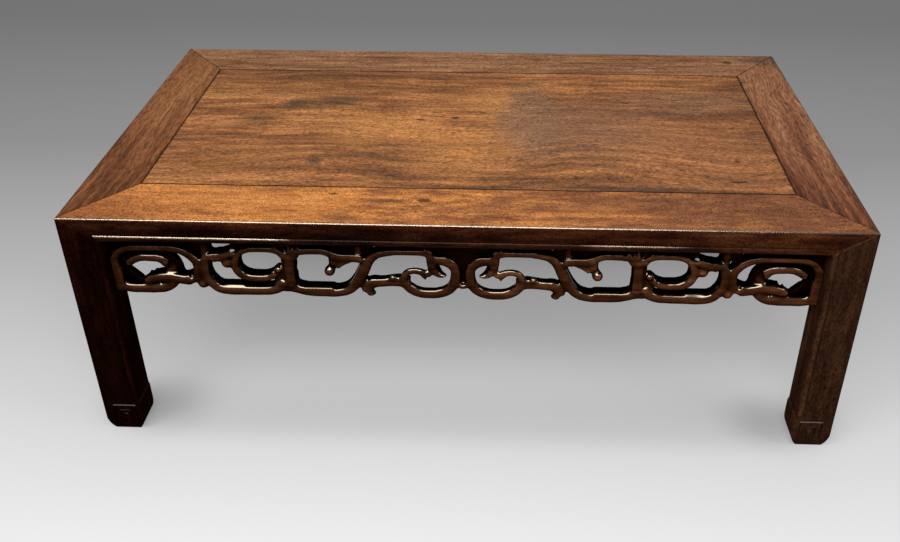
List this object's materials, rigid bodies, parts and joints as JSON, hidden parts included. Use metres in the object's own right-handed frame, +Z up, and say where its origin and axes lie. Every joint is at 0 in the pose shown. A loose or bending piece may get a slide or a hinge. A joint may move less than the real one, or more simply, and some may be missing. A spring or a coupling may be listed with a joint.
{
  "type": "kang table",
  "caption": "Low rectangular hardwood kang table: framed floating-panel top, legs flush and mitred at the corners with hoof feet, and pierced scroll aprons all round.",
  "frame": {"origin": "centre of the footprint at floor level", "axes": "+X along the long rails, +Y from the front to the back, +Z up"},
  "size_m": [0.903, 0.498, 0.318],
  "materials": {
    "panel_wood": "waxed, satin",
    "frame_wood": "waxed, satin",
    "leg_wood": "waxed, semi-gloss",
    "apron_wood": "waxed, semi-gloss",
    "inner_wood": "bare"
  },
  "bodies": {
    "root": {"top_panel": "panel_wood", "front_frame_rail": "frame_wood", "back_frame_rail": "frame_wood", "left_frame_rail": "frame_wood", "right_frame_rail": "frame_wood", "left_batten": "inner_wood", "right_batten": "inner_wood", "front_left_leg": "leg_wood", "front_right_leg": "leg_wood", "back_left_leg": "leg_wood", "back_right_leg": "leg_wood", "front_apron": "apron_wood", "back_apron": "apron_wood", "left_apron": "apron_wood", "right_apron": "apron_wood", "front_apron_top_tongues": "inner_wood", "back_apron_top_tongues": "inner_wood", "left_apron_top_tongues": "inner_wood", "right_apron_top_tongues": "inner_wood", "front_apron_end_tongues": "inner_wood", "back_apron_end_tongues": "inner_wood", "left_apron_end_tongues": "inner_wood", "right_apron_end_tongues": "inner_wood"}
  },
  "joints": []
}
